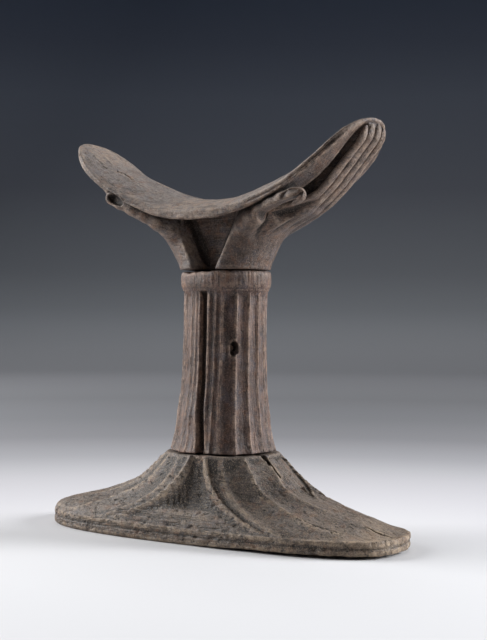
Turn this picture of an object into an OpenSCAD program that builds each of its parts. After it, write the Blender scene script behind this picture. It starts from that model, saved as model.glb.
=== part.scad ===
// Carved wooden headrest: a crescent pillow held up by two hands, a fluted column and a flared foot.
// Millimetres, +Z up. The origin is the centre of the foot's underside, X runs along the pillow,
// and the thumbs are on the -Y side. Angles round the column are counted from -Y towards +X.

/* [Foot] */
// Length of the foot
foot_len = 177; // [150:1:200]
// Width of the foot
foot_wid = 66; // [58:1:76]
// Squareness of the foot's outline, where 2 is an ellipse
foot_power = 2.8; // [2.2:0.1:3.4]
// Height of the moulded edge round the foot
edge_h = 8; // [6:0.5:10]
// Height of the joint between the foot and the column
foot_h = 37.6; // [36:0.1:44]
// Radius of the foot at that joint
neck_r = 25; // [24.5:0.1:27]

/* [Column] */
// Height of the column, joint to joint
column_h = 80.1; // [70:0.1:90]
// Radius of the shaft at its slimmest
shaft_r = 18.2; // [17:0.1:20]
// Radius of the shaft where it meets the foot
shaft_foot_r = 23.6; // [22:0.1:24.4]
// Radius of the plain collar at the top
collar_r = 19.8; // [19.5:0.1:22]
// Share by which the top of the column is wider along the pillow than its mean radius
oval = 0.09; // [0:0.01:0.12]
// Height of the plain collar
collar_h = 8; // [5:0.5:12]
// Depth of the flutes
flute_d = 1.3; // [0.6:0.1:1.8]
// Depth of the groove that parts the two bundles of flutes, front and back
parting_d = 3.6; // [2:0.1:4.5]

/* [Pillow] */
// Length of the pillow, tip to tip
pillow_len = 151; // [140:1:170]
// Width of the pillow
pillow_wid = 53; // [46:1:60]
// Height of the whole headrest at the tips of the pillow
total_h = 180; // [172:1:190]
// Height of the pillow's top in the middle
saddle_h = 149; // [146:1:154]
// Drop from the pillow's crown to its long edges
crown_drop = 7; // [4:0.5:10]
// Thickness of the pillow's edge in the middle
rim_t = 4; // [3:0.5:6]
// Thickness of a hand under the pillow, at the heel of the hand
hand_t = 18; // [14:1:20]
// Depth of the grooves between the fingers
finger_groove_d = 2; // [0.5:0.1:3]

/* [Joinery] */
// Diameter of the round loose tenons
tenon_d = 13; // [9:1:14]
// Length of the upper tenon inside the pillow block
tenon_in_pillow = 17; // [12:1:19]
// Length of the upper tenon inside the column
upper_tenon_in_column = 41; // [30:1:44]
// Length of the lower tenon inside the column
lower_tenon_in_column = 28; // [20:1:30]
// Length of the lower tenon inside the foot
tenon_in_foot = 26; // [18:1:30]
// Diameter of the pegs that lock the tenons
peg_d = 3; // [2:0.5:4]
// Length of each peg
peg_len = 22; // [18:1:24]
// Angle round the column of the upper peg
upper_peg_angle = 48; // [30:1:60]
// Height of the upper peg above the ground
upper_peg_z = 83.5; // [82:0.5:95]
// Angle round the column of the lower peg
lower_peg_angle = 225; // [200:1:250]
// Height of the lower peg above the ground
lower_peg_z = 61; // [56:1:64]

/* [Hidden] */

wood = [0.36, 0.29, 0.23];
peg_wood = [0.25, 0.20, 0.16];
column_top = foot_h + column_h;
tenon_gap = 0.1;          // side clearance of a tenon in its mortise
end_gap = 1;              // space left past the end of each tenon and peg
peg_gap = 0.05;           // side clearance of a peg in its hole
flare_z = 15.5;             // height over which the shaft's flare dies away

// Ridges between the flutes of one half, front to back, and the samples of one flute.
ridges = [7, 24, 44, 63, 81, 99, 117, 136, 156, 173];
flute_steps = 5;
function half_angles() = [for (i = [0:len(ridges) - 2], k = [0:flute_steps - 1])
    ridges[i] + (ridges[i + 1] - ridges[i]) * k / flute_steps];
right_half = concat([0], half_angles(), [ridges[len(ridges) - 1]]);
round_angles = concat(right_half, [for (a = right_half) a + 180]);

// Share of the flute's depth at an angle: 0 on a ridge, 1 in the middle of a flute.
function folded(a) = let (b = (a + 360) % 360) b > 180 ? 360 - b : b;
function flute_no(a) = max([for (i = [0:len(ridges) - 1]) ridges[i] <= a + 0.001 ? i : 0]);
function scallop(a) = let (b = folded(a))
    b < ridges[0] || b >= 180 - ridges[0] ? 0 :
    let (i = flute_no(b), s = (b - ridges[i]) / (ridges[i + 1] - ridges[i])) 4 * s * (1 - s);
function in_parting(a) = let (b = folded(a)) min(b, 180 - b) < ridges[0] - 0.001 ? 1 : 0;

// A solid made of rings with the same number of points, lowest first.
module loft(rings) {
    n = len(rings[0]);
    m = len(rings);
    polyhedron(
        points = [for (r = rings) each r],
        faces = concat(
            [[for (j = [0:n - 1]) j]],
            [for (i = [0:m - 2], j = [0:n - 1])
                each let (a = i * n + j, b = i * n + (j + 1) % n)
                    [[a, a + n, b], [b, a + n, b + n]]],
            [[for (j = [n - 1:-1:0]) (m - 1) * n + j]]),
        convexity = 6);
}

// ---- Foot ----
function signed_pow(v, p) = sign(v) * pow(abs(v), p);
function foot_outline(a, inset) = [
    (foot_len / 2 - inset) * signed_pow(sin(a), 2 / foot_power),
    -(foot_wid / 2 - inset) * signed_pow(cos(a), 2 / foot_power)];

// The draped body, from the neck down: height, length and width as shares of the way, and squareness.
body_levels = [[1, 0, 0, 0], [0.895, 0.064, 0.1, 0], [0.794, 0.121, 0.18, 0], [0.676, 0.184, 0.28, 0],
    [0.6, 0.229, 0.35, 0], [0.514, 0.299, 0.427, 0], [0.456, 0.356, 0.483, 0], [0.375, 0.464, 0.562, 0.03],
    [0.294, 0.579, 0.652, 0.1], [0.226, 0.69, 0.73, 0.25], [0.176, 0.793, 0.787, 0.44], [0.118, 0.889, 0.854, 0.62],
    [0.068, 0.952, 0.9, 0.81], [0, 0.985, 0.955, 1]];
function body_ring(level, d) =
    let (h = level[0], p = 2 + (foot_power - 2) * level[3],
         half_l = neck_r * (1 + oval * 0.4) + (foot_len / 2 - neck_r * (1 + oval * 0.4)) * level[1],
         half_w = neck_r * (1 - oval * 0.4) + (foot_wid / 2 - neck_r * (1 - oval * 0.4)) * level[2])
    [for (a = round_angles)
        let (cut = (0.3 + 0.7 * h) * (scallop(a) * d + in_parting(a) * d * 1.4))
        [(half_l - cut) * signed_pow(sin(a), 2 / p), -(half_w - cut) * signed_pow(cos(a), 2 / p),
         edge_h + (foot_h - edge_h) * h]];
function edge_ring(z, inset) = [for (a = round_angles)
    let (p = foot_outline(a, inset)) [p[0], p[1], z]];

module foot() {
    edge = [[0, 1], [0.9, 0], [3.2, 0], [4, 0.9], [4.8, 0], [7.1, 0], [edge_h - 0.1, 0.7]];
    count = len(body_levels);
    color(wood) difference() {
        loft(concat([for (e = edge) edge_ring(e[0], e[1])], [for (i = [count - 1:-1:0]) body_ring(body_levels[i], flute_d)]));
        translate([0, 0, foot_h - tenon_in_foot - end_gap])
            cylinder(d = tenon_d + 2 * tenon_gap, h = tenon_in_foot + 10, $fn = 64);
    }
}

// ---- Column ----
function shaft_radius(z) = shaft_r + (shaft_foot_r - shaft_r) * exp(-(z - foot_h) / flare_z);
function oval_at(z) = oval * (0.4 + 0.6 * (z - foot_h) / column_h);
function shaft_ring(z, d) = [for (a = round_angles)
    let (r = shaft_radius(z) - d * scallop(a) - in_parting(a) * parting_d, o = oval_at(z))
        [r * (1 + o) * sin(a), -r * (1 - o) * cos(a), z]];
function plain_ring(z, r) = let (o = oval_at(z))
    [for (a = round_angles) [r * (1 + o) * sin(a), -r * (1 - o) * cos(a), z]];

module column() {
    collar_z = column_top - collar_h;
    shaft = [0, 2, 6, 11, 17, 24, 32, 42, 55, 68];
    collar = [[0.4, -0.8], [2.5, -0.3], [5, 0], [collar_h - 0.7, 0], [collar_h, -0.6]];
    color(wood) difference() {
        loft(concat(
            [for (h = shaft) shaft_ring(foot_h + h, flute_d)],
            [shaft_ring(collar_z, flute_d)],
            [for (c = collar) plain_ring(collar_z + c[0], collar_r + c[1])]));
        translate([0, 0, column_top - upper_tenon_in_column - end_gap])
            cylinder(d = tenon_d + 2 * tenon_gap, h = 60, $fn = 64);
        translate([0, 0, foot_h - 10])
            cylinder(d = tenon_d + 2 * tenon_gap, h = lower_tenon_in_column + end_gap + 10, $fn = 64);
        peg_hole(upper_peg_angle, upper_peg_z, 30);
        peg_hole(lower_peg_angle, lower_peg_z, 30);
    }
}

// ---- Pillow and hands ----
// Along one wing, from the middle (0) to the tip (1): height of the crown, half-width and belly depth.
pillow_half = pillow_len / 2;
rise = total_h - saddle_h;
function along(x) = min(1, abs(x) / pillow_half);
function crown_z(x) = saddle_h + rise * lookup(along(x),
    [[0, 0], [0.16, 0.03], [0.31, 0.14], [0.47, 0.285], [0.62, 0.45], [0.78, 0.65], [0.9, 0.86], [1, 1]]);
function half_width(x) = pillow_wid / 2 * lookup(along(x),
    [[0, 1], [0.3, 0.97], [0.55, 0.98], [0.75, 0.95], [0.85, 0.85], [0.92, 0.7], [0.97, 0.54], [1, 0.36]]);
function belly(x) = hand_t / 18 * lookup(along(x),
    [[0, 7], [0.18, 8], [0.33, 21.5], [0.5, 21.5], [0.6, 20.5], [0.68, 19], [0.76, 17], [0.82, 15], [0.88, 13],
     [0.93, 10.8], [0.97, 8], [1, 4.5]]);
function top_z(x, y) = crown_z(x) - crown_drop * pow(y / (pillow_wid / 2), 2);
function rim_height(x) = rim_t + 1.8 * sin(180 * along(x));
function finger_groove(x, y) = let (fade = min(1, max(0, (along(x) - 0.42) / 0.14)))
    finger_groove_d * fade * pow(abs(cos(180 * y / (half_width(x) * 0.235))), 6);

// One slice: over the crown, down the rim, in under it and round the hand's belly.
function pillow_section(x) =
    let (w = half_width(x), h = w * 0.52, rim = rim_height(x), over = 8, under = 28)
    concat(
        [for (i = [0:over]) let (y = -w + 2 * w * i / over) [x, y, top_z(x, y)]],
        [[x, w * 0.99, top_z(x, w) - rim]],
        [for (i = [0:under]) let (
            y = h * cos(180 * i / under),
            shell = top_z(x, y) - rim * 0.9,
            low = crown_z(x) - max(belly(x), rim + 2),
            z = shell - (shell - low) * pow(max(0, sin(180 * i / under)), 0.6) + finger_groove(x, y))
            [x, y, min(shell - 0.2, z)]],
        [[x, -w * 0.99, top_z(x, w) - rim]]);

module pillow_blank() {
    stations = 32;
    loft([for (i = [stations:-1:-stations]) pillow_section(pillow_half * sin(90 * i / stations))]);
}

// One wrist rises from half of the collar's outline to the heel of the hand.
module wrist() {
    hull() {
        intersection() {
            translate([0, 0, column_top - 0.5]) scale([1 + oval, 1 - oval, 1])
                cylinder(r = collar_r - 0.3, h = 5, $fn = 48);
            translate([1.6, -30, column_top - 1]) cube([30, 60, 8]);
        }
        translate([22, 0, saddle_h - 13]) scale([12, 16, 8]) sphere(r = 1, $fn = 28);
    }
}

// The thumb lies along the front of the hand, just under the rim. The left one lies a little higher.
module thumb(lift) {
    joint = [[26, -18.5, 139 + lift * 0.3, 4.2], [38, -21.9, 144 + lift * 0.8, 3.3],
        [50 - lift * 1.3, -22.8, 147.3 + lift, 3.4]];
    for (i = [0, 1]) hull() {
        translate([joint[i][0], joint[i][1], joint[i][2]]) sphere(r = joint[i][3], $fn = 24);
        translate([joint[i + 1][0], joint[i + 1][1], joint[i + 1][2]]) sphere(r = joint[i + 1][3], $fn = 24);
    }
}

module pillow_with_hands() {
    color(wood) difference() {
        union() {
            pillow_blank();
            wrist();
            thumb(0);
            mirror([1, 0, 0]) wrist();
            mirror([1, 0, 0]) thumb(3.3);
            translate([0, 0, column_top - 0.7]) cylinder(d = tenon_d + 9, h = 27, $fn = 64);
        }
        translate([-60, -60, column_top - 40]) cube([120, 120, 40]);
        translate([0, 0, column_top - 1])
            cylinder(d = tenon_d + 2 * tenon_gap, h = tenon_in_pillow + end_gap + 1, $fn = 64);
    }
}

// ---- Joinery ----
module peg_hole(angle, z, length) {
    rotate([0, 0, angle]) translate([0, -length, z]) rotate([-90, 0, 0])
        cylinder(d = peg_d + 2 * peg_gap, h = length + tenon_d / 2 + 3, $fn = 32);
}

module upper_tenon() {
    color(peg_wood) difference() {
        translate([0, 0, column_top - upper_tenon_in_column])
            cylinder(d = tenon_d, h = upper_tenon_in_column + tenon_in_pillow, $fn = 64);
        peg_hole(upper_peg_angle, upper_peg_z, 30);
    }
}

module lower_tenon() {
    color(peg_wood) difference() {
        translate([0, 0, foot_h - tenon_in_foot])
            cylinder(d = tenon_d, h = lower_tenon_in_column + tenon_in_foot, $fn = 64);
        peg_hole(lower_peg_angle, lower_peg_z, 30);
    }
}

// A peg driven in from the side, with its inner end just short of the bottom of its hole.
module peg(angle, z, length) {
    color(peg_wood) rotate([0, 0, angle]) translate([0, tenon_d / 2 + 2 - length, z]) rotate([-90, 0, 0])
        cylinder(d = peg_d, h = length, $fn = 32);
}

module upper_tenon_peg() {
    peg(upper_peg_angle, upper_peg_z, peg_len);
}

module lower_tenon_peg() {
    peg(lower_peg_angle, lower_peg_z, peg_len + 4);
}

pillow_with_hands();
column();
foot();
upper_tenon();
lower_tenon();
upper_tenon_peg();
lower_tenon_peg();
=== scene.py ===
"""A carved wooden headrest: a pillow held by two hands, a fluted column and a pleated foot."""
import math

import bpy
import numpy as np
import openvdb as vdb
from mathutils import Matrix, Vector


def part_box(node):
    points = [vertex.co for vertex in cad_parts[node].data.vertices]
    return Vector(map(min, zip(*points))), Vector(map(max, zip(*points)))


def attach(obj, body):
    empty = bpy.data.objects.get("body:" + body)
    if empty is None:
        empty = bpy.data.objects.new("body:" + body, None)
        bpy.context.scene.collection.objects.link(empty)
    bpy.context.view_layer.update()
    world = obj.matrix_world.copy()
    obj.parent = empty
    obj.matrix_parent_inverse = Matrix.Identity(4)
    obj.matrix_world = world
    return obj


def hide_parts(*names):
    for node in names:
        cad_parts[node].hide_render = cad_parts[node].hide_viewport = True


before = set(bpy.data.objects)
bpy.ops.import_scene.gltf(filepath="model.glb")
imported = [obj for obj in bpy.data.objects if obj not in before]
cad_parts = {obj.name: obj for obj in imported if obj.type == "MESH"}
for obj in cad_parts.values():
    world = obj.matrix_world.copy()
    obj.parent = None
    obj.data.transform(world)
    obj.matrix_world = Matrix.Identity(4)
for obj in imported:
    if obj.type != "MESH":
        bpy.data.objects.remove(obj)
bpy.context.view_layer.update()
MM = 0.001
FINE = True
MARGIN = 1.5                                         # empty space round a block in its grid, in millimetres
RELIEF_REACH = (("fine", 0.8), ("wide", 2.6), ("deep", 10))
RELIEF_LIMIT = 12


# ---------------------------------------------------------------- solid modelling on a grid, in millimetres
class Grid:
    """Sample points of a box. Fields are negative inside the wood."""

    def __init__(self, lo, hi, step):
        self.lo, self.step = np.array(lo, float), step
        axes = [np.arange(lo[i], hi[i] + step, step, dtype=np.float32) for i in range(3)]
        self.x, self.y, self.z = axes[0][:, None, None], axes[1][None, :, None], axes[2][None, None, :]


def smooth_min(a, b, k):
    """The smaller of a and b, blended where they are less than k apart."""
    h = np.clip(0.5 + 0.5 * (b - a) / k, 0, 1)
    return b + (a - b) * h - k * h * (1 - h)


def smooth_max(a, b, k):
    return -smooth_min(-a, -b, k)


def ramp(v, a, b):
    """0 before a, 1 after b, smooth between."""
    t = np.clip((v - a) / (b - a), 0, 1)
    return t * t * (3 - 2 * t)


def curve(v, knots, soften=0.0):
    """A line through (v, value) knots. With soften, v counts without its sign and the corners are rounded."""
    xs, ys = zip(*knots)
    if not soften:
        return np.interp(v, xs, ys).astype(np.float32)
    total = 0
    for k, weight in zip((-2, -1, 0, 1, 2), (1, 4, 6, 4, 1)):
        total = total + weight / 16 * np.interp(np.abs(v + k * soften), xs, ys)
    return total.astype(np.float32)


def noise3(p, size, seed, octaves=1, stretch=(1, 1, 1)):
    """Smooth noise in -1..1 with features of about size millimetres, at points p."""
    total, amp, norm = 0.0, 1.0, 0.0
    for o in range(octaves):
        rng = np.random.default_rng(seed + 101 * o)
        table = rng.uniform(-1, 1, (32, 32, 32)).astype(np.float32)
        q = p / (size * np.array(stretch)) * 2 ** o + 1000.5
        i = np.floor(q).astype(np.int64)
        t = q - i
        t = t * t * (3 - 2 * t)
        value = 0
        for dx in (0, 1):
            for dy in (0, 1):
                for dz in (0, 1):
                    w = ((t[..., 0] if dx else 1 - t[..., 0]) * (t[..., 1] if dy else 1 - t[..., 1])
                         * (t[..., 2] if dz else 1 - t[..., 2]))
                    at = [(i[..., axis] + d) % 32 for axis, d in enumerate((dx, dy, dz))]
                    value = value + w * table[at[0], at[1], at[2]]
        total = total + amp * value
        norm += amp
        amp *= 0.5
    return total / norm


def box_blur(f, reach):
    """Mean over a cube of 2 reach + 1 samples, run twice to come near a round blur."""
    for _ in range(2):
        for axis in range(3):
            pad = [(0, 0)] * 3
            pad[axis] = (reach + 1, reach)
            c = np.cumsum(np.pad(f, pad, mode="edge"), axis=axis, dtype=np.float64)
            n = f.shape[axis]
            hi = np.take(c, np.arange(2 * reach + 1, 2 * reach + 1 + n), axis=axis)
            low = np.take(c, np.arange(0, n), axis=axis)
            f = ((hi - low) / (2 * reach + 1)).astype(np.float32)
    return f


def sample(f, grid, p):
    """The field at points p."""
    q = np.clip((p - grid.lo) / grid.step, 0, np.array(f.shape) - 1.001)
    i = q.astype(int)
    t = q - i
    value = 0
    for dx in (0, 1):
        for dy in (0, 1):
            for dz in (0, 1):
                w = ((t[:, 0] if dx else 1 - t[:, 0]) * (t[:, 1] if dy else 1 - t[:, 1])
                     * (t[:, 2] if dz else 1 - t[:, 2]))
                value = value + w * f[i[:, 0] + dx, i[:, 1] + dy, i[:, 2] + dz]
    return value


def largest_part(count, faces):
    """Marks the points of the largest connected part, so that no stray bubble is left in a mesh."""
    label = np.arange(count)
    while True:
        low = label[faces].min(axis=1)
        joined = label.copy()
        np.minimum.at(joined, faces.ravel(), np.repeat(low, faces.shape[1]))
        joined = joined[joined]
        if np.array_equal(joined, label):
            return label == np.bincount(label).argmax()
        label = joined


def carve(name, field, grid, detail):
    """Meshes the field, presses in the surface detail and keeps how proud or sunk each point is."""
    band = 3 * grid.step
    volume = vdb.FloatGrid(band)
    volume.copyFromArray(np.clip(field, -band, band).astype(np.float32))
    points, tris, quads = volume.convertToPolygons(isovalue=0.0, adaptivity=0.0)
    assert len(tris) == 0                            # without adaptivity there are only quads
    keep = largest_part(len(points), quads.astype(np.int64))
    quads = (np.cumsum(keep) - 1)[quads[keep[quads[:, 0]]]]
    p = points[keep].astype(np.float64) * grid.step + grid.lo
    mesh = bpy.data.meshes.new(name)
    mesh.from_pydata((p * MM).tolist(), [], quads[:, ::-1].tolist())
    mesh.update()
    if sum(f.normal.z * f.center.z * f.area for f in mesh.polygons) < 0:
        mesh.flip_normals()
    normals = np.empty(len(p) * 3, np.float32)
    mesh.vertices.foreach_get("normal", normals)
    normals = normals.reshape(-1, 3)
    moved = p + normals * detail(p)[:, None]
    mesh.vertices.foreach_set("co", (moved * MM).astype(np.float32).ravel())
    clipped = np.clip(field, -RELIEF_LIMIT, RELIEF_LIMIT)
    for label, reach in RELIEF_REACH:
        blurred = box_blur(clipped, max(1, round(reach / grid.step)))
        value = sample(blurred - clipped, grid, p) / reach
        attribute = mesh.attributes.new("relief_" + label, "FLOAT", "POINT")
        attribute.data.foreach_set("value", value.astype(np.float32))
    mesh.update()
    for polygon in mesh.polygons:
        polygon.use_smooth = True
    piece = bpy.data.objects.new(name, mesh)
    bpy.context.scene.collection.objects.link(piece)
    return piece


def plan_distance(level, step):
    """Turns a 2D level set into about the distance from its edge."""
    gx, gy = np.gradient(level, step)
    return level / np.maximum(np.hypot(gx, gy), 1e-4)


def tube(grid, path, k):
    """Round limbs through (x, y, z, radius) points, blended over k."""
    out = None
    for a, b in zip(path[:-1], path[1:]):
        ax, ay, az, ar = a
        d = [b[i] - a[i] for i in range(3)]
        px, py, pz = grid.x - ax, grid.y - ay, grid.z - az
        t = np.clip((px * d[0] + py * d[1] + pz * d[2]) / sum(v * v for v in d), 0, 1)
        f = np.sqrt((px - t * d[0]) ** 2 + (py - t * d[1]) ** 2 + (pz - t * d[2]) ** 2) - (ar + t * (b[3] - ar))
        out = f if out is None else smooth_min(out, f, k)
    return out


def cut_crack(f, grid, path, wide, deep, below, seed, jagged=1.0):
    """Cuts a ragged crack along a path of (x, y) points, where below is each sample's depth in the wood."""
    x, y = grid.x[:, :, 0], grid.y[:, :, 0]
    rng = np.random.default_rng(seed)
    away = None
    shake = 0.35 * np.sin(x * 1.9 + rng.uniform(0, 6)) + 0.25 * np.sin(y * 2.3 + x * 0.7 + rng.uniform(0, 6))
    total = sum(math.dist(a, b) for a, b in zip(path[:-1], path[1:]))
    done = 0.0
    for a, b in zip(path[:-1], path[1:]):
        d = (b[0] - a[0], b[1] - a[1])
        size = math.hypot(*d)
        t = np.clip(((x - a[0]) * d[0] + (y - a[1]) * d[1]) / size ** 2, 0, 1)
        at = (done + t * size) / total
        width = wide * np.sqrt(np.clip(4 * at * (1 - at), 0.02, 1))
        gap = np.hypot(x - a[0] - t * d[0] + 0.3 * jagged * shake,
                       y - a[1] - t * d[1] + jagged * shake) - width
        away = gap if away is None else np.minimum(away, gap)
        done += size
    cut = np.maximum(away[:, :, None] + 0.25 * wide * below / deep, below - deep)
    cut = np.maximum(cut, -below - 1.5)
    return np.maximum(f, -cut).astype(np.float32)


# ---------------------------------------------------------------- sizes shared by the three blocks
LO_JOINT, HI_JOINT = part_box("column")[0][2] / MM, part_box("column")[1][2] / MM
RIDGES = [7, 15.5, 24, 44, 63, 81, 99, 117, 136, 156, 164.5, 173]   # arrises, degrees from -Y
WIDE_FLUTE = 12                                      # narrower flutes, beside the slots, are shallower


def flutes(angle):
    """Depth share of the flutes at an angle from -Y, in degrees: 0 on an arris, 1 in a wide flute's middle."""
    b = np.abs((angle + 180) % 360 - 180)
    out = np.zeros_like(b)
    for r0, r1 in zip(RIDGES[:-1], RIDGES[1:]):
        s = np.clip((b - r0) / (r1 - r0), 0, 1)
        depth = 1.0 if r1 - r0 > WIDE_FLUTE else 0.45
        out = out + depth * (1 - np.abs(2 * s - 1) ** 2.4)
    return out


# ---------------------------------------------------------------- column
COLLAR_TALL = 8.3
COLUMN_SKIN = 19.5                                   # about how far out the column's surface lies
JOINT_GAP = 0.3                                      # leaves a dark line at each joint
# angle from -Y in degrees, height, half width, half height and depth of each old hole
HOLES = [(48.0, 84.2, 1.7, 2.3, 7.0), (46.0, 81.8, 1.3, 1.6, 4.5), (51, 82.2, 0.9, 1.3, 3.0),
         (-62, 57.5, 0.8, 0.8, 2.0)]


def cut_holes(f, g):
    """The old hole on the front right with a torn lower edge, and a small one on the left."""
    for turn, z, wide, tall, deep in HOLES:
        s, c = math.sin(math.radians(turn)), math.cos(math.radians(turn))
        across = g.x * c + g.y * s
        out = g.x * s - g.y * c
        hole = np.sqrt((across / wide) ** 2 + ((g.z - z) / tall) ** 2
                       + (np.maximum(0, COLUMN_SKIN - out) / deep) ** 4) - 1
        hole = np.where(out < 0, 1, hole)
        f = smooth_max(f, -hole * wide, 0.4)
    return f


def collar_field(g, r, collar):
    """The rounded collar from its lower edge up, with a fillet under it."""
    half = COLLAR_TALL / 2
    up = (g.z - collar) / COLLAR_TALL
    bulge = 19.4 - 0.8 * np.abs(2 * up - 1) ** 2.6
    ring = smooth_max(r - bulge, np.abs(g.z - collar - half) - half, 1.1)
    lip = smooth_max(r - 18.5, np.abs(g.z - collar) - 0.9, 0.5)
    return ring, lip


def make_column():
    step = 0.4 if FINE else 0.7
    g = Grid((-26.5, -25.5, LO_JOINT - MARGIN), (26.5, 25.5, HI_JOINT + MARGIN), step)
    oval = 0.09 * (0.4 + 0.6 * (g.z - LO_JOINT) / (HI_JOINT - LO_JOINT))
    # the shaft leans a little towards the back right
    lean = curve(g.z, [(LO_JOINT, 0.0), (53, 0.0), (75, 0.4), (95, 0.6), (HI_JOINT, 0.9)], 2.0)
    ex, ey = (g.x - 0.84 * lean) / (1 + oval), (g.y - 0.54 * lean) / (1 - oval)
    r = np.hypot(ex, ey)
    angle = np.degrees(np.arctan2(ex, -ey))
    collar = HI_JOINT - COLLAR_TALL
    radius = 18.0 + 5.7 * np.exp(-(g.z - LO_JOINT) / 15.5) + 0.5 * np.exp(-((g.z - 55) / 8) ** 2)
    cut = 1.1 * flutes(angle) * ramp(collar - g.z, 0.6, 3.4)
    # the slot that parts the two bundles, front and back
    slot_x = curve(g.z, [(LO_JOINT, 2.1), (46, 1.1), (58, -0.2), (HI_JOINT, -0.4)], 2.0) * -np.sign(g.y)
    slot = (1 - ramp(np.abs(g.x - slot_x), 0.8, 2.1)) * 4.3 * ramp(collar - g.z, 0.4, 2.2)
    shaft = r - (radius - cut - slot)
    ring, lip = collar_field(g, r, collar)
    f = smooth_min(np.minimum(shaft, lip), ring, 0.5)
    f = smooth_max(f, LO_JOINT + JOINT_GAP + 0.15 * np.sin(np.radians(angle * 5 + 40)) - g.z, 0.3)
    # the collar's top edge is worn away towards the front left
    worn = ramp(angle, -75, -45) * (1 - ramp(angle, -5, 25))
    worn = (0.75 + 0.3 * np.sin(np.radians(angle * 9)) + 0.2 * np.sin(np.radians(angle * 23))) * worn
    f = smooth_max(f, g.z - (HI_JOINT - JOINT_GAP - worn * ramp(r, 13, 18)), 0.45)
    f = cut_holes(f, g)

    def detail(p):
        fibre = noise3(p, 1.3, 11, 2, (1, 1, 14))
        lump = noise3(p, 9, 12, 2)
        chip = np.maximum(0, noise3(p, 2.2, 13, 2) - 0.35)
        low = ramp(-p[:, 2], -LO_JOINT - 24, -LO_JOINT)
        ends = np.maximum(ramp(-p[:, 2], -LO_JOINT - 2.5, -LO_JOINT), ramp(p[:, 2], HI_JOINT - 2.5, HI_JOINT))
        return 0.14 * fibre + 0.16 * lump - chip * (0.25 + 0.5 * low + 0.9 * ends)

    return carve("fluted_column", f, g, detail)


# ---------------------------------------------------------------- foot
EDGE_TALL = 7.6                                      # of the moulding round the bottom
FOOT_POWER = 2.8                                     # squareness of the foot's outline
# height, half length, half width and squareness of the draped body's outline
BODY_LEVELS = [(37.6, 25.6, 24.1, 2.0), (34.5, 29.6, 25.0, 2.0), (31.5, 33.2, 25.7, 2.0), (28, 37.2, 26.6, 2.0),
               (25.8, 40, 27.2, 2.0), (23.2, 44.4, 27.9, 2.0), (21.5, 48, 28.4, 2.0), (19.1, 54.8, 29.1, 2.02),
               (16.7, 62, 29.9, 2.08), (14.7, 69, 30.6, 2.2), (13.2, 75.5, 31.1, 2.35),
               (11.5, 81.5, 31.7, 2.5), (10, 85.5, 32.1, 2.65), (7.4, 88.5, 33, 2.8)]
# at these heights, how much further out the body's right end is than that, and its left end
RIGHT_END = (7.4, 8.6, 10, 11.5, 13.2, 16.7, 21.5, 26), (-3, -7.5, -9, -9, -7.5, -4, -1.5, 0)
LEFT_END = (7.4, 10, 12.5, 15), (0, 1.6, 0.8, 0)
# height and half width of the plain field between the skirts
FIELD_EDGE = [(7.6, 43), (9, 38), (10.5, 33.5), (12, 29.5), (14, 25), (16, 21.2), (18, 17.8), (20, 15),
              (22, 12.6), (24, 10.6), (26, 8.9), (28, 7.5), (30, 6.3), (32, 5.2), (34, 4.3), (36, 3.6),
              (39, 3.1)]
FIRST_ARRIS, SECOND_ARRIS = 7.0, 23.0                # degrees from -Y where the pleats meet the neck
# points along each crack, its width and its depth
FOOT_CRACKS = [([(19, -4.9), (28, -6.8), (34, -6.9)], 0.8, 3.0),
               ([(30, -6.7), (36, -6.8), (43, -7.0)], 0.12, 0.9),
               ([(72, -5.4), (79.4, -5), (84, -3.6), (89, -1)], 0.6, 6.0),
               ([(22, -24), (30, -20), (39, -15.4)], 0.22, 0.9), ([(-60, -9), (-72, -8), (-83, -5)], 0.3, 1.6),
               ([(50, -21), (61, -20), (70, -18.5)], 0.3, 1.2), ([(38, 9), (52, 12), (66, 11)], 0.4, 2.0),
               ([(-27, 10), (-40, 12), (-55, 10)], 0.35, 1.8)]


def body_height(g, x, y):
    """Height of the draped body over the plan, found by going up through its outlines."""
    zs, half_long, half_wide, square = (np.array(v) for v in zip(*BODY_LEVELS[::-1]))
    heights = np.linspace(EDGE_TALL - 0.2, LO_JOINT, 90)
    height = np.full(x.shape, EDGE_TALL - 0.6, np.float32)
    before = np.ones_like(x)
    right = (g.x[:, :, 0] > 0).astype(np.float32)
    for k, h in enumerate(heights):
        a, b, p = (np.interp(h, zs, v) for v in (half_long, half_wide, square))
        a = a + right * np.interp(h, *RIGHT_END)
        a = a + (1 - right) * np.interp(h, *LEFT_END)
        out = ((x / a) ** p + (y / b) ** p) ** (1 / p) - 1
        if k:
            crossed = (before < 0) & (out >= 0)
            height = np.where(crossed, h - (h - heights[k - 1]) * out / (out - before + 1e-9), height)
        before = out
    height = np.where(before < 0, LO_JOINT + 0.6, height)
    return box_blur(height[:, :, None], 2)[:, :, 0]


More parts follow.
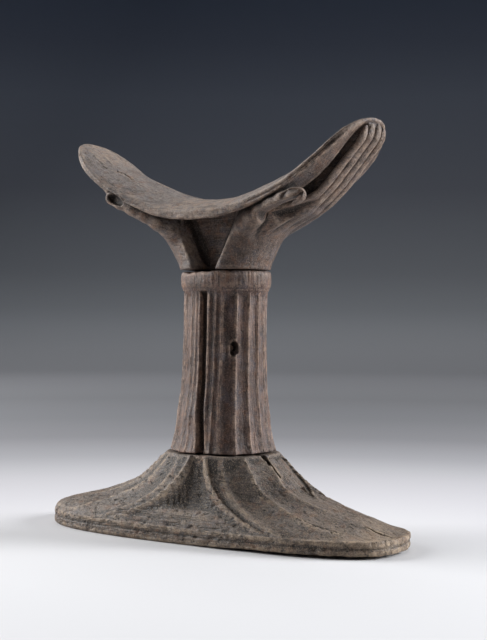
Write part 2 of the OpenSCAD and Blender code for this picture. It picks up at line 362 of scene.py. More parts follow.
def drapery(g, x, y, height):
    """How far the pleats, the sunk field and its rolled edges stand proud of the draped body."""
    zs, half_long = zip(*[row[:2] for row in BODY_LEVELS[::-1]])
    neck_x, neck_y = BODY_LEVELS[0][1:3]
    ridge_x = np.interp(height, zs, half_long)
    r = np.hypot(x, y)
    neck = 1 / np.sqrt((x / r / neck_x) ** 2 + (y / r / neck_y) ** 2)
    # the plain field is wide at the bottom, with a rolled edge of about even width on each side
    off = 2.2 * ramp(height, 14, 36) * -np.sign(g.y[:, :, 0])
    away = np.abs(g.x[:, :, 0] - off)
    field_x = curve(height, FIELD_EDGE, 0.5)
    roll = 6.6 + 0.4 * ramp(height, 20, 36)
    # where each point's pleat starts on the neck, in degrees from -Y
    rest = np.clip((away - field_x - roll) / np.maximum(ridge_x - field_x - roll, 1), 0, 1)
    start = math.sin(math.radians(SECOND_ARRIS))
    run = np.where(away < field_x, FIRST_ARRIS * away / field_x,
                   np.where(away < field_x + roll,
                            FIRST_ARRIS + (SECOND_ARRIS - FIRST_ARRIS) * (away - field_x) / roll,
                            np.degrees(np.arcsin(start + (1 - start) * rest))))
    run = np.where(g.y[:, :, 0] > 0, 180 - run, run)
    pleat = np.zeros_like(run)
    arrises = [FIRST_ARRIS, SECOND_ARRIS, 44, 63, 81, 99, 117, 136, 180 - SECOND_ARRIS, 180 - FIRST_ARRIS]
    for r0, r1 in zip(arrises[:-1], arrises[1:]):
        share = np.clip((run - r0) / (r1 - r0), 0, 1)
        beside_field = min(r0, 180 - r1) <= 20
        pleat = pleat + (0.4 if beside_field else 1.0) * (1 - np.abs(2 * share - 1) ** 2.0)
    fan = ramp(r - neck, 0, 14)
    fade = 1 - ramp(x, 36, 76)
    pleat = pleat * (1.25 + 0.45 * fan) * (0.1 + 0.9 * fade)
    rim = np.exp(-((np.minimum(run, 180 - run) - 8.2) / 1.5) ** 2)
    return -pleat - (0.9 + 2.9 * ramp(height, 12, 34)) * ramp(field_x - away, 0.1, 1.7) + 0.45 * rim


def moulding(g, side):
    """The moulded edge: two rolls with a groove between."""
    low_roll, high_roll = 2.1, 1.65                  # half heights
    inset = np.where(g.z < 2 * low_roll, np.abs(g.z - low_roll) / low_roll,
                     np.abs(g.z - 2 * low_roll - high_roll) / high_roll)
    inset = 0.6 * np.minimum(inset, 1.2) ** 5 + 1.6 * ramp(-g.z, -1.5, 0.2) ** 2
    rolls = np.maximum(side + 0.25 + inset, g.z - EDGE_TALL)
    return smooth_max(rolls, g.z - EDGE_TALL + 0.2, 0.6)


def make_foot():
    step = 0.5 if FINE else 0.8
    length, width = (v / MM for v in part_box("foot")[1][:2])
    g = Grid((-length - MARGIN, -width - MARGIN, -MARGIN),
             (length + MARGIN, width + MARGIN, LO_JOINT + MARGIN), step)
    x, y = np.abs(g.x[:, :, 0]) + 1e-3, np.abs(g.y[:, :, 0]) + 1e-3
    level = ((x / length) ** FOOT_POWER + (y / width) ** FOOT_POWER) ** (1 / FOOT_POWER) - 1
    side = plan_distance(level * 30, step)[:, :, None]
    height = body_height(g, x, y)
    gx, gy = np.gradient(height, step)
    slope = (1 / np.sqrt(1 + gx * gx + gy * gy))[:, :, None]
    shape = drapery(g, x, y, height)[:, :, None]
    height = height[:, :, None]
    top = (g.z - height) * slope - shape * ramp(LO_JOINT - height, -0.3, 0.5)
    f = smooth_min(smooth_max(top, side + 0.9, 0.8), moulding(g, side), 0.5)
    # the right end is worn underneath, so its lower edge clears the ground
    tuck = 1.1 * ramp(g.x, -10, 40) * (1 - ramp(-side, 3.0, 6.0))
    f = smooth_max(f, 0.05 + tuck - g.z, 0.5)
    f = smooth_max(f, g.z - (LO_JOINT - 0.25), 0.4)
    for path, wide, deep in FOOT_CRACKS:
        f = cut_crack(f, g, path, wide, deep, (height - g.z) * slope, 17, 0.45)

    def detail(p):
        fibre = noise3(p, 1.5, 21, 2, (10, 1, 1))
        lump = noise3(p, 9, 22, 2)
        pit = np.maximum(0, noise3(p, 1.5, 23, 2, (1.8, 1, 1)) - 0.24)
        low = ramp(-p[:, 2], -30, -4)
        top_wear = ramp(p[:, 2], LO_JOINT - 1.6, LO_JOINT - 0.4) * np.maximum(0, noise3(p, 3.5, 25, 2) - 0.05)
        edge_wear = 0.6 * top_wear + ramp(-p[:, 2], -9, -6) * np.maximum(0, noise3(p, 4.5, 24, 2) - 0.1)
        off_ground = ramp(p[:, 2], 0.3, 1.4)
        return (0.14 * fibre + 0.25 * lump - pit * (0.55 + 0.6 * low) - 0.9 * edge_wear) * off_ground

    return carve("pleated_foot", f, g, detail)


# ---------------------------------------------------------------- pillow and hands
# For each hand: the thumb as (x, y, z, radius) points, its nail as x, z, slant in degrees and two half sizes,
# how far the wrist stands out, how much less deep the fingers' roots are, and how much higher the tip is.
RIGHT_HAND = {
    "thumb": [(19.5, -14.0, 136, 4.6), (25.5, -17.2, 139.8, 4.4), (31.5, -19.6, 142.1, 4.0),
              (37, -21.2, 144.0, 3.6), (43, -22.2, 145.9, 3.4), (48, -22.7, 147, 3.4),
              (50.7, -22.8, 147.4, 3.3)],
    "nail": (48.6, 147.3, 8, 4.7, 2.6), "shift": 0.7, "slim": 0.0, "lift": 0.9}
LEFT_HAND = {
    "thumb": [(18.5, -15.2, 134.8, 3.6), (24, -18.0, 138.6, 3.0), (29.5, -20.0, 142, 2.8),
              (35, -21.4, 145.2, 2.8), (41, -22.4, 148.3, 3.0), (45.6, -22.6, 150.4, 3.1)],
    "nail": (42.4, 149.2, 27, 4.5, 2.0), "shift": -0.7, "slim": 2.4, "lift": 0.0}
# y, extra depth, how far short of the plate's end, and share of the full width of each finger
FINGERS = [(-8.4, 0.0, 0.9, 0.8), (-3.1, 0.6, 0.3, 1), (3.1, 0.5, 0.0, 1), (9.0, 0.0, 0.5, 0.9)]
SADDLE = 149.2                                       # lowest height of the pillow's top
PILLOW_Y = 29                                        # half the width of the pillow's grid
# points along each drying crack of the top, its width and its depth
PILLOW_CRACKS = [([(-53, -12.2), (-49, -9.4), (-43, -10.8)], 0.6, 2.4),
                 ([(-74, 9.5), (-68, 10.2), (-62, 12.8)], 0.6, 2.0),
                 ([(-39.5, -12.0), (-35, -13.2)], 0.35, 1.2), ([(-31, -13.8), (-24, -12.4)], 0.3, 1.0),
                 ([(-62.5, -12.3), (-55, -14.8)], 0.3, 0.9), ([(-47, 4), (-33, 5.5)], 0.3, 1.2),
                 ([(28, 6), (41, 8.5), (52, 8)], 0.35, 1.4), ([(58, -7), (69, -5.5)], 0.35, 1.4)]


def squareness(line, step):
    """What is left of an upright distance when it is taken square to a line that rises along x."""
    return 1 / np.sqrt(1 + np.gradient(line[:, 0, 0], step) ** 2)[:, None, None]


class HalfPillow:
    """Half of the pillow with the hand under it, for x from the middle outwards."""

    def __init__(self, g, half, top, hand):
        self.g, self.half, self.hand = g, half, hand
        self.u = g.x / half
        crown = SADDLE + (top - SADDLE - 0.3) * curve(
            self.u, [(0, 0), (0.156, 0.03), (0.313, 0.14), (0.467, 0.285), (0.624, 0.45), (0.78, 0.65),
                     (0.9, 0.86), (1, 1), (1.1, 1.08)], 0.035)
        self.crown = crown + hand["lift"] * ramp(self.u, 0.6, 0.92)
        self.lean = squareness(self.crown, g.step)
        self.wide = 26.2 * curve(self.u, [(0, 1), (0.3, 0.98), (0.6, 0.985), (1.1, 0.97)], 0.04)
        level = (np.sqrt(np.abs(g.x / half) ** 8 + (g.y / self.wide) ** 2) - 1)[:, :, 0] * 26
        self.side = plan_distance(level, g.step)[:, :, None]
        self.drop = curve(self.u, [(0, 6), (0.27, 7.5), (0.54, 8.3), (0.66, 7.1), (0.79, 5.7), (0.92, 4.2),
                                   (0.97, 3.2), (1.1, 2.4)], 0.03)
        self.upper = self.crown - self.drop * (g.y / self.wide) ** 2
        self.depth = (self.upper - g.z) * self.lean      # below the top, square to it

    def plate(self):
        """The plate: a thin rim, a bevel that slopes in and down from it, and a hollow beside the fingers."""
        x, ay = self.g.x, np.abs(self.g.y)
        rim = curve(x, [(0, 4.0), (20, 3.2), (41, 2.6), (60, 2.3), (70, 2.0), (75, 1.3), (80, 1.2)], 1.2)
        band = curve(x, [(0, 4.5), (20, 4.3), (30, 4.9), (38, 7.0), (44, 9.6), (50, 10.2), (58, 9.0), (62, 7.9),
                         (65, 6.7), (68, 5.0), (71, 3.2), (73, 2.1), (75, 1.4), (80, 1.1)], 1.0)
        band_y = curve(x, [(0, 25.5), (25, 24.5), (34, 22.5), (42, 17.5), (50, 13.8), (64, 13.2), (70, 11.5),
                           (73, 9), (80, 8)], 1.2)
        hollow = np.minimum(6.0 * ramp(x, 40, 52), np.maximum(0.95 * band - 1.4, 0))
        hollow = hollow + 2.5 * (1 - ramp(x, 8, 30))
        inward = np.clip((self.wide - ay) / np.maximum(self.wide - band_y, 0.6), 0, 1)
        below = (self.drop * (self.g.y / self.wide) ** 2 + rim + (band - rim) * inward
                 - hollow * ramp(band_y - ay, 0.0, 1.8))
        under = (self.crown - below - self.g.z) * self.lean
        return smooth_max(smooth_max(-self.depth, self.side, 0.9), under, 0.5)

    def finger(self, deep, y, more, short, share):
        """One finger, with its lower side deep below the crown."""
        g, x, reach = self.g, self.g.x, self.half - short
        low = self.crown - deep - more * (1 - ramp(x, 62, 74))
        tilt = squareness(low, g.step)
        half_y = share * curve(x, [(20, 4.2), (40, 3.5), (52, 2.95), (66, 2.8), (72, 2.55), (76, 2.3),
                                   (79, 2.1)])
        half_n = curve(x, [(20, 5.5), (36, 4.4), (45, 2.4), (52, 1.45), (68, 1.3), (72, 1.6), (75, 2.4),
                           (79, 3.0)], 1.0)
        half_n = np.minimum(half_n, (self.crown - low - 0.9) * tilt / 2)
        end = np.sqrt(np.clip(1 - (np.maximum(0, x - reach + 1.6) / 1.6) ** 2, 0.09, 1))
        yc = y * curve(x, [(15, 1.15), (40, 1.02), (60, 1.0), (70, 0.96), (80, 0.86)])
        zc = low + half_n / tilt
        f = np.sqrt(((g.y - yc) / (half_y * end)) ** 2 + ((g.z - zc) * tilt / (half_n * end)) ** 2) - 1
        return np.maximum(f * half_n * end + 8 * ramp(20 - x, 0, 8), x - reach)

    def fingers(self):
        """Four fingers side by side under the plate, with flesh between them and it."""
        g, x, hand = self.g, self.g.x, None
        deep = curve(x, [(20, 22), (31, 21.2), (39, 20.6), (44, 20.0), (51, 18.6), (57.5, 16.4), (62, 14.4),
                         (66, 12.8), (69, 11.6), (72.7, 8.8), (75, 6.4), (80, 4.5)], 1.2)
        deep = deep + self.hand["lift"] * curve(x, [(69, 0), (73, 1), (80, 2.4)])
        deep = deep - self.hand["slim"] * np.exp(-((x - 36) / 7.5) ** 2)
        for values in FINGERS:
            finger = self.finger(deep, *values)
            hand = finger if hand is None else smooth_min(hand, finger, 0.25 + 3.0 * ramp(35 - x, 0, 12))
        inside = smooth_max(np.abs(g.y) - curve(x, [(18, 13), (40, 9.5), (48, 6.2), (70, 5.6), (76, 4.6)]),
                            g.z - (self.upper - 1.6), 0.8)
        inside = np.maximum(inside, (self.crown - deep + 2.4 + 3.2 * ramp(x, 67, 73)) - g.z)
        inside = np.maximum(inside, np.maximum(14 - x, x - self.half + 1.6))
        return smooth_min(hand, inside, 0.8)

    def wrist(self):
        """An oval that leans outwards, with a rounded shoulder towards a deep notch in the middle."""
        x, ay, z, base = self.g.x, np.abs(self.g.y), self.g.z, HI_JOINT
        rx = curve(z, [(base - 5, 19.7), (base, 19.8), (120.8, 21.0), (123.5, 23.0), (127.1, 25.0),
                       (128.7, 26.2), (131.5, 28.3), (134.3, 31.0), (137.1, 35.0), (139.9, 40.5),
                       (142.7, 46)], 0.6)
        rx = rx + self.hand["shift"] * (1 - ramp(z, 118, 132))
        ry = curve(z, [(base - 5, 18.0), (base, 18.0), (123, 17.2), (132, 17.4), (138, 18.2), (150, 18.6)], 1.0)
        f = ((x / rx) ** 2.3 + (ay / ry) ** 2.3) ** (1 / 2.3) - 1
        f = f * 17 * curve(z, [(118, 1), (128, 1), (141, 1.2), (160, 1.2)])
        f = np.maximum(smooth_max(f, z - (self.upper - 2.0), 1.0), z - 150)
        crest = curve(z, [(base, 7.2), (119.8, 8.3), (131, 15), (136.7, 19.8), (141.3, 24.6), (143.7, 28.8),
                          (147, 34)], 0.8)
        edge = np.maximum(1.2, 3.2 + 0.427 * (z - 119.1))
        turn = np.clip((crest - x) / np.maximum(crest - edge, 1), 0, 1.0)
        reach_y = np.maximum(7.6, 17.2 - 12.5 * (1 - np.sqrt(np.clip(1 - turn ** 2, 0, 1))))
        return smooth_max(f, ay - reach_y, 0.7)

    def nail(self):
        """Below 0 inside the oval of the thumb's nail."""
        x, z, slant, half_long, half_wide = self.hand["nail"]
        dx, dz, tilt = self.g.x - x, self.g.z - z, math.radians(slant)
        along = dx * math.cos(tilt) + dz * math.sin(tilt)
        across = dz * math.cos(tilt) - dx * math.sin(tilt)
        return np.sqrt((along / half_long) ** 2 + (across / half_wide) ** 2) - 1

    def cut_left(self, f):
        """The left thumb's nail is a hollow with a flat bottom."""
        return smooth_max(f, -np.maximum(self.nail() * 2.0, self.g.y + 23.2), 0.4)

    def cut_right(self, f, thumb):
        """The right nail is sunk 0.7 mm, and the palm is hollowed out between thumb and first finger."""
        g, x = self.g, self.g.x
        recess = np.maximum(self.nail() * 2.4, -0.7 - thumb)
        f = smooth_max(f, -np.maximum(recess, g.y + 22.8), 0.2)
        ridge = curve(x, [(27, 129), (33.5, 133.2), (40, 137.4), (46.4, 142.4), (52, 147.3), (58, 153)], 0.5)
        roof = curve(x, [(27, 139.5), (31.5, 141.6), (37, 143.4), (43, 145.2), (50.7, 147), (58, 152)], 0.5)
        back = curve(x, [(27, 19), (31, 14.5), (35, 9.5), (39, 6.5), (58, 6)], 0.8)
        palm = smooth_max(smooth_max(ridge - g.z, g.z - roof, 0.8), g.y + back, 0.8)
        return smooth_max(f, -smooth_max(palm, np.maximum(30 - x, x - 55), 2.0), 0.4)

    def solid(self):
        g, x, u = self.g, self.g.x, self.u
        body = smooth_min(self.wrist(), self.fingers(), 1.6)
        body = smooth_min(body, self.plate(), 0.5)
        # the thumb rises out of the wrist along the front, and a gap parts its free end from the rest
        thumb = tube(g, self.hand["thumb"], 1.5)
        body = smooth_max(body, -smooth_max(thumb - 0.6, 28 - x, 2.0), 0.35)
        f = smooth_min(body, thumb, 0.3 + 3.2 * ramp(29 - x, 0, 8))
        f = self.cut_left(f) if self.hand is LEFT_HAND else self.cut_right(f, thumb)
        # incised line under the rim
        line = (np.hypot(self.side + 0.15, (self.depth - 1.7) * 0.9)
                - 0.4 * ramp(u, 0.3, 0.42) * (1 - ramp(u, 0.86, 0.96)))
        f = smooth_max(f, -line, 0.25)
        return smooth_max(f, HI_JOINT + JOINT_GAP - g.z, 0.5)


def make_pillow():
    step = 0.5 if FINE else 0.8
    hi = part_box("pillow_with_hands")[1]
    half, top = hi[0] / MM - 0.2, hi[2] / MM
    g = Grid((0, -PILLOW_Y, HI_JOINT - MARGIN), (half + MARGIN, PILLOW_Y, top + 2), step)
    right = HalfPillow(g, half, top, RIGHT_HAND)
    left = HalfPillow(g, half, top, LEFT_HAND)
    # the halves share their middle plane, so the whole grid is centred on it
    f = np.concatenate([left.solid()[:0:-1], right.solid()], axis=0).astype(np.float32)
    full = Grid((-half - MARGIN, -PILLOW_Y, HI_JOINT - MARGIN), (half + MARGIN, PILLOW_Y, top + 2), step)
    full.lo[0] = -(f.shape[0] - 1) / 2 * step
    full.x = (full.lo[0] + step * np.arange(f.shape[0], dtype=np.float32))[:, None, None]
    upper, lean = (np.concatenate([v[:0:-1], v], axis=0) for v in (right.upper, right.lean))
    for path, wide, deep in PILLOW_CRACKS:
        f = cut_crack(f, full, path, wide, deep, (upper - full.z) * lean, 7)

    def detail(p):
        fibre = noise3(p, 1.4, 31, 2, (10, 1, 1))
        lump = noise3(p, 8, 32, 2)
        chip = np.maximum(0, noise3(p, 2.4, 33, 2, (1.5, 1, 1)) - 0.42)
        return 0.10 * fibre + 0.16 * lump - 0.45 * chip

    return carve("pillow_and_hands", f, full, detail)


column = make_column()
foot = make_foot()
pillow = make_pillow()


# ---------------------------------------------------------------- hidden joinery
def whittled_pin(name, radius, end_point, direction, length):
    """A round pin with softened ends and slightly uneven sides, as whittled wood has."""
    sides, rings = 48, 24
    rng = np.random.default_rng(len(name))
    d = Vector(direction).normalized()
    a = d.orthogonal().normalized()
    b = d.cross(a)
    wobble = rng.uniform(-1, 1, sides)
    verts, faces = [], []
    for i in range(rings + 1):
        t = i / rings
        end = min(t, 1 - t) * length
        r = radius * (1 - 0.14 * max(0, 1 - end / (0.3 * radius)) ** 2)
        for j in range(sides):
            w = 2 * math.pi * j / sides
            rr = r - radius * 0.012 * (1 + wobble[j])
            verts.append(Vector(end_point) + d * (t * length) + (a * math.cos(w) + b * math.sin(w)) * rr)
    for i in range(rings):
        for j in range(sides):
            k = (j + 1) % sides
            faces.append((i * sides + j, i * sides + k, (i + 1) * sides + k, (i + 1) * sides + j))
    faces.append(tuple(range(sides - 1, -1, -1)))
    faces.append(tuple(rings * sides + j for j in range(sides)))
    mesh = bpy.data.meshes.new(name)
    mesh.from_pydata(verts, [], faces)
    mesh.update()
    piece = bpy.data.objects.new(name, mesh)
    bpy.context.scene.collection.objects.link(piece)
    for polygon in mesh.polygons:
        polygon.use_smooth = len(polygon.vertices) == 4
    return piece


joinery = []
for node in ("upper_tenon", "lower_tenon"):
    lo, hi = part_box(node)
    pin = whittled_pin(node + "_wood", (hi[0] - lo[0]) / 2, (0, 0, lo[2]), (0, 0, 1), hi[2] - lo[2])
    joinery.append((node, pin))
for node, angle in (("upper_tenon_peg", 43), ("lower_tenon_peg", 225)):
    lo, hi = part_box(node)
    s, c = math.sin(math.radians(angle)), math.cos(math.radians(angle))
    radius = (hi[2] - lo[2]) / 2
    length = (hi[0] - lo[0] - 2 * radius * abs(c)) / abs(s)
    centre = [(lo[i] + hi[i]) / 2 for i in range(3)]
    start = (centre[0] - s * length / 2, centre[1] + c * length / 2, centre[2])
    joinery.append((node, whittled_pin(node + "_wood", radius, start, (s, -c, 0), length)))


# ---------------------------------------------------------------- materials
class Nodes:
    """Short names for the shader nodes that the woods share."""

    def __init__(self, name):
        self.material = bpy.data.materials.new(name)
        self.material.use_nodes = True
        self.tree = self.material.node_tree
        self.tree.nodes.clear()
        self.coords = self.add("ShaderNodeTexCoord").outputs["Object"]

    def add(self, kind, **values):
        node = self.tree.nodes.new(kind)
        for k, v in values.items():
            setattr(node, k, v)
        return node

    def put(self, socket, value):
        if isinstance(value, bpy.types.NodeSocket):
            self.tree.links.new(value, socket)
        else:
            socket.default_value = value

    def math(self, op, a, b=0.0, clamp=False):
        node = self.add("ShaderNodeMath", operation=op, use_clamp=clamp)
        for i, v in enumerate((a, b)):
            self.put(node.inputs[i], v)
        return node.outputs[0]

    def band(self, value, a, b, low=0.0, high=1.0):
        node = self.add("ShaderNodeMapRange", interpolation_type="SMOOTHSTEP")
        for i, v in enumerate((value, a, b, low, high)):
            self.put(node.inputs[i], v)
        return node.outputs[0]

    def noise(self, size, stretch, detail, rough, offset):
        """Noise with features of about size millimetres."""
        mapping = self.add("ShaderNodeMapping")
        self.put(mapping.inputs["Vector"], self.coords)
        mapping.inputs["Scale"].default_value = [1 / (size * MM * s) for s in stretch]
        mapping.inputs["Location"].default_value = (offset, offset * 1.7, offset * 0.6)
        node = self.add("ShaderNodeTexNoise")
        self.put(node.inputs["Vector"], mapping.outputs[0])
        node.inputs["Scale"].default_value = 1.0
        node.inputs["Detail"].default_value = detail
        node.inputs["Roughness"].default_value = rough
        return node.outputs[0]

    def mix(self, factor, a, b, blend="MIX"):
        node = self.add("ShaderNodeMix", data_type="RGBA", blend_type=blend)
        self.put(node.inputs[0], factor)
        for socket, v in ((node.inputs[6], a), (node.inputs[7], b)):
            self.put(socket, v if isinstance(v, bpy.types.NodeSocket) else (*v, 1))
        return node.outputs[2]

    def stops(self, value, stops):
        """A colour ramp through (place, colour) stops."""
        node = self.add("ShaderNodeValToRGB")
        self.put(node.inputs[0], value)
        elements = node.color_ramp.elements
        while len(elements) < len(stops):
            elements.new(0.5)
        for element, (place, colour) in zip(elements, stops):
            element.position, element.color = place, (*colour, 1)
        return node.outputs[0]

    def relief(self, label):
        return self.add("ShaderNodeAttribute", attribute_name="relief_" + label).outputs["Fac"]


def srgb(r, g, b):
    return tuple(((v / 255 + 0.055) / 1.055) ** 2.4 if v > 10 else v / 255 / 12.92 for v in (r, g, b))


BLACK_DIRT_AND_SHADE = srgb(16, 11, 9)
EVEN = (1, 1, 1)


def old_wood(name, grain, tones, worn, dust, dust_up, dust_all, pits, cracks, wear, hollow_shade, rough_skin, seed,
             end_wear_and_highlight=0.0):
    """Old carved wood: streaked along the grain, black with grime in the fine cuts, darkened with painted shade
    in the wider hollows, rubbed on the arrises, dusty on top; the right end can be paled, partly as wear and
    partly as a painted highlight.
    """
    n = Nodes(name)
    dark, mid, light = tones

    def along_grain(times):
        return [times if grain == a else 1 for a in "xyz"]

    fibre = n.noise(0.8, along_grain(12), 5, 0.65, seed)
    streak = n.noise(3.0, along_grain(12), 5, 0.65, seed + 3)
    blotch = n.noise(15, EVEN, 5, 0.65, seed + 5)
    grit = n.noise(1.1, along_grain(1.6), 4, 0.7, seed + 7)
    colour = n.mix(n.band(streak, 0.36, 0.62), dark, mid)
    colour = n.mix(n.band(blotch, 0.40, 0.62, 0.0, 0.75), colour, n.mix(n.band(fibre, 0.38, 0.6), mid, light))
    colour = n.mix(n.math("MULTIPLY", n.band(fibre, 0.36, 0.5, 1.0, 0.0), 0.75), colour, dark)
    # dust lies where the wood faces up, and as a thin film elsewhere
    normal = n.add("ShaderNodeSeparateXYZ")
    n.put(normal.inputs[0], n.add("ShaderNodeNewGeometry").outputs["Normal"])
    up = n.band(normal.outputs["Z"], 0.0, 0.85, 0.0, dust_up)
    film = n.math("MULTIPLY", n.band(n.noise(5, EVEN, 5, 0.65, seed + 9), 0.40, 0.62), dust_all)
    dusty = n.math("MULTIPLY", n.math("ADD", up, film), n.band(grit, 0.36, 0.58, 0.4, 1.0), clamp=True)
    colour = n.mix(dusty, colour, dust)
    # patches of warmer, cooler and darker colour
    for size, offset, most, tint in ((4.5, 19, 0.36, srgb(124, 82, 52)), (6.5, 21, 0.36, srgb(78, 80, 90)),
                                     (9, 25, 0.4, dark)):
        colour = n.mix(n.band(n.noise(size, EVEN, 5, 0.7, seed + offset), 0.50, 0.64, 0.0, most), colour, tint)
    # rubbed arrises, less so next to the joints, and a pale right end that is partly wear and partly a painted
    # highlight
    fine, wide, deep = n.relief("fine"), n.relief("wide"), n.relief("deep")
    uneven = n.band(n.noise(3.0, EVEN, 5, 0.7, seed + 11), 0.42, 0.6, 0.1, 1)
    rub_and_end_highlight = n.math("MULTIPLY", n.band(fine, 0.08, 0.22), uneven)
    place = n.add("ShaderNodeSeparateXYZ")
    n.put(place.inputs[0], n.coords)
    for joint in (LO_JOINT * MM, HI_JOINT * MM):
        near = n.math("ABSOLUTE", n.math("SUBTRACT", place.outputs[2], joint))
        rub_and_end_highlight = n.math("MULTIPLY", rub_and_end_highlight, n.band(near, 0.6 * MM, 2.2 * MM, 0.1, 1.0))
    # painted highlight: the right end, where the right lamp falls, is paled towards the worn colour along with
    # its wear
    lit_worn_end = n.math("MULTIPLY", n.band(place.outputs[0], 50 * MM, 88 * MM, 0.0, end_wear_and_highlight),
                     n.band(blotch, 0.36, 0.6, 0.4, 1.0))
    rub_and_end_highlight = n.math("ADD", n.math("MULTIPLY", rub_and_end_highlight, wear), lit_worn_end, clamp=True)
    colour = n.mix(rub_and_end_highlight, colour, worn)
    # grime in the fine cuts, and painted shade that darkens the wider hollows and recesses
    dirt_and_shade = n.band(fine, -0.04, -0.2, 0.0, 0.9)
    # painted shade: the wider hollows and the deep recesses are darkened towards black as if lying in shadow
    dirt_and_shade = n.math("MAXIMUM", dirt_and_shade, n.band(wide, -0.08, -0.26, 0.0, hollow_shade))
    dirt_and_shade = n.math("MAXIMUM", dirt_and_shade, n.band(deep, -0.06, -0.26, 0.0, hollow_shade))
    colour = n.mix(n.math("MULTIPLY", dirt_and_shade, 0.92), colour, BLACK_DIRT_AND_SHADE)
    # pits and hairline cracks along the grain
    pit = n.band(n.noise(1.25, along_grain(2.0), 2, 0.5, seed + 13), 0.62, 0.70)
    pit = n.math("MULTIPLY", pit, pits)
    line = n.math("ABSOLUTE", n.math("SUBTRACT", n.noise(5.0, along_grain(40), 3, 0.5, seed + 15), 0.5))
    here_and_there = n.band(n.noise(14, EVEN, 2, 0.5, seed + 17), 0.5, 0.58)
    crack = n.math("MULTIPLY", n.band(line, 0.012, 0.003), here_and_there)
    crack = n.math("MULTIPLY", crack, cracks)
    mark = n.math("MAXIMUM", pit, crack)
    colour = n.mix(n.math("MULTIPLY", mark, 0.85), colour, BLACK_DIRT_AND_SHADE)
    # light and dark specks
    sand = n.noise(0.5, EVEN, 2, 0.75, seed + 23)
    for speck, start, end, most, tint in ((grit, 0.44, 0.30, 0.4, dark), (sand, 0.48, 0.34, 1.0, dark),
                                          (grit, 0.56, 0.70, 0.35, worn), (sand, 0.52, 0.66, 0.85, worn)):
        colour = n.mix(n.band(speck, start, end, 0.0, most * rough_skin), colour, tint)
    # sheen and bump
    height = n.math("ADD", n.math("MULTIPLY", fibre, 0.6), n.math("MULTIPLY", grit, 0.9 * rough_skin))
    height = n.math("ADD", height, n.math("MULTIPLY", streak, 0.7))
    height = n.math("SUBTRACT", height, n.math("MULTIPLY", mark, 0.9))
    bump = n.add("ShaderNodeBump")
    bump.inputs["Strength"].default_value = 0.9
    bump.inputs["Distance"].default_value = 0.8 * MM
    n.put(bump.inputs["Height"], height)
    shader = n.add("ShaderNodeBsdfPrincipled")
    n.put(shader.inputs["Base Color"], colour)
    rough = n.band(fibre, 0.3, 0.7, 0.46, 0.64)
    n.put(shader.inputs["Roughness"], n.math("ADD", rough, n.math("MULTIPLY", dusty, 0.15)))
    shader.inputs["Specular IOR Level"].default_value = 0.45
    n.put(shader.inputs["Normal"], bump.outputs[0])
    out = n.add("ShaderNodeOutputMaterial")
    n.put(out.inputs["Surface"], shader.outputs[0])
    return n.material


pillow_wood = old_wood("dusty_wood", "x", (srgb(44, 31, 26), srgb(84, 66, 56), srgb(122, 100, 85)),
                       worn=srgb(172, 150, 130), dust=srgb(134, 127, 123), dust_up=0.8, dust_all=0.2,
                       pits=0.35, cracks=0.7, wear=0.45, hollow_shade=0.85, rough_skin=0.32, seed=2.0)
column_wood = old_wood("dark_wood", "z", (srgb(40, 25, 21), srgb(76, 53, 45), srgb(126, 98, 84)),
                       worn=srgb(178, 150, 128), dust=srgb(132, 120, 113), dust_up=0.4, dust_all=0.2,
                       pits=0.4, cracks=0.6, wear=0.45, hollow_shade=0.7, rough_skin=0.35, seed=11.0)
foot_wood = old_wood("worn_wood", "x", (srgb(42, 33, 28), srgb(82, 69, 60), srgb(126, 109, 94)),
                     worn=srgb(178, 156, 130), dust=srgb(130, 122, 116), dust_up=0.4, dust_all=0.2,
                     pits=1.0, cracks=0.9, wear=0.45, hollow_shade=0.6, rough_skin=0.5, seed=23.0, end_wear_and_highlight=0.3)
pin_wood = old_wood("pin_wood", "z", (srgb(70, 50, 40), srgb(110, 84, 66), srgb(130, 104, 84)),
                    worn=srgb(150, 122, 98), dust=srgb(120, 108, 98), dust_up=0.1, dust_all=0.1,
                    pits=0.2, cracks=0.3, wear=0.0, hollow_shade=0.0, rough_skin=0.4, seed=31.0)

for piece, node, slot, material in ((column, "column", "dark_wood", column_wood),
                                    (foot, "foot", "worn_wood", foot_wood),
                                    (pillow, "pillow_with_hands", "dusty_wood", pillow_wood)):
    piece.data.materials.append(material)
    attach(piece, "root")
    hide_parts(node)
for node, piece in joinery:
    piece.data.materials.append(pin_wood)
    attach(piece, "root")
    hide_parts(node)


# ---------------------------------------------------------------- stage
LIGHT_POOL_CENTRE = (0.065, -0.10)                                # centre of the painted pool of light on the floor, which is palest in front of the foot
FLOOR_REACH, WALL_REACH = 3.0, 1.5                   # how far out the painted floor light and how high the painted backdrop light reach, in metres
PAINTED_FLOOR_LIGHT = [(0.0, (204, 204, 206)), (0.12, (206, 206, 208)), (0.25, (185, 184, 188)),
               (0.33, (171, 170, 174)), (0.44, (142, 142, 146)), (0.58, (119, 119, 123)),
               (0.77, (116, 117, 121)), (1.06, (129, 130, 134)), (1.54, (180, 181, 186)),
               (2.3, (226, 228, 232))]
PAINTED_WALL_LIGHT = [(0.0, (232, 235, 240)), (0.12, (197, 201, 206)), (0.2, (178, 182, 188)), (0.43, (144, 148, 158)),
              (0.69, (135, 142, 156)), (0.85, (112, 120, 137)), (1.0, (96, 107, 127)), (1.5, (78, 86, 104))]


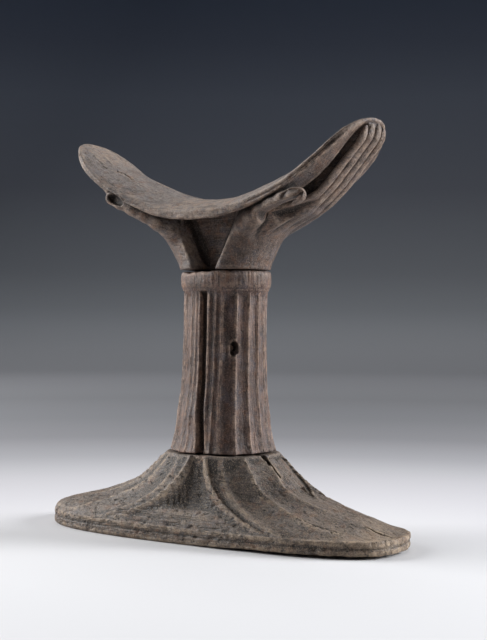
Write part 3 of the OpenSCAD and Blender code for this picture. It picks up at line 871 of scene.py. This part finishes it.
def make_stage():
    """A pale round floor that curves up into a grey backdrop all round, with a painted pool of light on the
    floor and painted light that fades up the backdrop.
    """
    profile = [(0, 0), (0.6, 0), (1.2, 0), (1.7, 0), (2.1, 0.05), (2.5, 0.22), (2.8, 0.55), (2.95, 1.1),
               (FLOOR_REACH, 2.2), (FLOOR_REACH, 4.5)]
    sides = 96
    verts = [(0, 0, 0)]
    turns = [2 * math.pi * j / sides for j in range(sides)]
    for r, z in profile[1:]:
        verts += [(r * math.cos(turn), r * math.sin(turn), z) for turn in turns]
    faces = [(0, 1 + j, 1 + (j + 1) % sides) for j in range(sides)]
    for i in range(len(profile) - 2):
        for j in range(sides):
            k = (j + 1) % sides
            a = 1 + i * sides
            faces.append((a + j, a + k, a + sides + k, a + sides + j)[::-1])
    mesh = bpy.data.meshes.new("floor")
    mesh.from_pydata(verts, [], faces)
    mesh.update()
    for polygon in mesh.polygons:
        polygon.use_smooth = True
    floor = bpy.data.objects.new("floor", mesh)
    bpy.context.scene.collection.objects.link(floor)
    n = Nodes("floor_paper_and_painted_light")
    split = n.add("ShaderNodeSeparateXYZ")
    n.put(split.inputs[0], n.coords)
    # painted pool of light: the floor's colour is palest round a point in front of the foot and darker further
    # out
    off = [n.math("SUBTRACT", split.outputs[i], LIGHT_POOL_CENTRE[i]) for i in (0, 1)]
    flat = n.math("SQRT", n.math("ADD", n.math("MULTIPLY", off[0], off[0]), n.math("MULTIPLY", off[1], off[1])))
    out = n.math("DIVIDE", flat, FLOOR_REACH)
    colour = n.stops(out, [(at / FLOOR_REACH, srgb(*c)) for at, c in PAINTED_FLOOR_LIGHT])
    # painted light on the backdrop: palest just above the floor and darker higher up
    up = n.math("DIVIDE", split.outputs[2], WALL_REACH)
    wall = n.stops(up, [(at / WALL_REACH, srgb(*c)) for at, c in PAINTED_WALL_LIGHT])
    colour = n.mix(n.band(split.outputs[2], 0.0, 0.12), colour, wall)
    shader = n.add("ShaderNodeBsdfPrincipled")
    n.put(shader.inputs["Base Color"], colour)
    shader.inputs["Roughness"].default_value = 0.9
    out = n.add("ShaderNodeOutputMaterial")
    n.put(out.inputs["Surface"], shader.outputs[0])
    mesh.materials.append(n.material)


make_stage()


def area_light(name, at, target, size, power, colour=(1, 1, 1)):
    light = bpy.data.lights.new(name, "AREA")
    light.shape = "RECTANGLE"
    light.size, light.size_y = size
    light.energy = power
    light.color = colour
    obj = bpy.data.objects.new(name, light)
    bpy.context.scene.collection.objects.link(obj)
    obj.location = at
    obj.rotation_euler = (Vector(target) - Vector(at)).to_track_quat("-Z", "Y").to_euler()


def around(azimuth, distance, height):
    a = math.radians(azimuth)
    return (distance * math.sin(a), -distance * math.cos(a), height)


area_light("left", around(-72, 1.1, 0.6), (0, 0, 0.09), (0.8, 0.8), 25.5)
area_light("right", around(124, 1.0, 0.42), (0, 0, 0.09), (0.45, 0.5), 18, (0.97, 0.98, 1))
area_light("top", (-0.05, 0.3, 1.3), (0, 0, 0.08), (0.8, 0.8), 5)
world = bpy.data.worlds.new("studio")
world.use_nodes = True
background = world.node_tree.nodes["Background"]
background.inputs["Color"].default_value = (0.75, 0.8, 0.9, 1)
background.inputs["Strength"].default_value = 0.06
bpy.context.scene.world = world

# camera, at the photograph's viewing angle
camera_data = bpy.data.cameras.new("camera")
camera_data.sensor_width = 36
camera_data.lens = 70.3
camera_data.clip_end = 20
camera = bpy.data.objects.new("camera", camera_data)
bpy.context.scene.collection.objects.link(camera)
azimuth, distance, eye = 32.6, 0.5592, 0.0970
yaw, pitch, roll = -0.9, math.radians(-0.12), math.radians(0.37)
camera.location = around(azimuth, distance, eye)
heading = math.radians(azimuth + yaw)
forward = Vector((-math.sin(heading) * math.cos(pitch), math.cos(heading) * math.cos(pitch), math.sin(pitch)))
turn = forward.to_track_quat("-Z", "Y").to_matrix().to_4x4()
camera.rotation_euler = (turn @ Matrix.Rotation(roll, 4, "Z")).to_euler()
bpy.context.scene.camera = camera
bpy.context.scene.view_settings.view_transform = "Standard"
